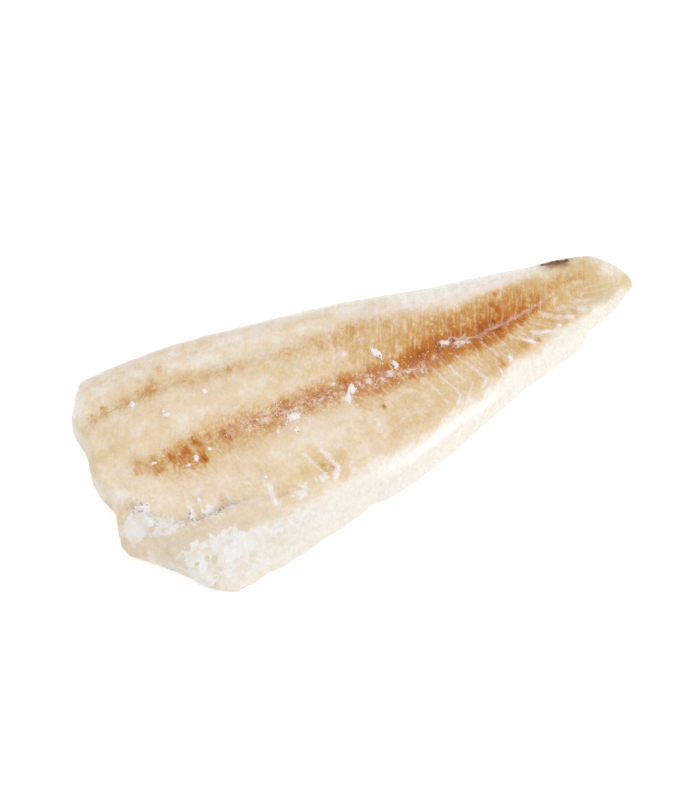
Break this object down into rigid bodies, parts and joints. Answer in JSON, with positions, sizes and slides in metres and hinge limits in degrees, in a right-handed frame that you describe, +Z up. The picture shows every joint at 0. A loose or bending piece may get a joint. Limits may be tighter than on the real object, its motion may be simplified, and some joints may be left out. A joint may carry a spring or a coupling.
{
  "type": "frozen skinless hake fillet",
  "caption": "Tapering slab of frozen white fish, skinned side up, with a brown line along the middle, chevron flakes, a thin belly flap and patches of frost.",
  "frame": {"origin": "middle of the bounding box at the flat underside, on the surface that the fillet lies on", "axes": "+X along the fillet from the head cut to the tail, +Y across towards the back edge, +Z up"},
  "size_m": [0.2606, 0.1204, 0.0219],
  "materials": {
    "flesh": "cream fish flesh with a brown band along the midline, slightly translucent under a thin ice glaze",
    "frost": "white freezer frost in small crystals",
    "skin": "thin dark grey-brown fish skin left at the back edge"
  },
  "bodies": {
    "root": {"fillet": "flesh"}
  },
  "joints": []
}
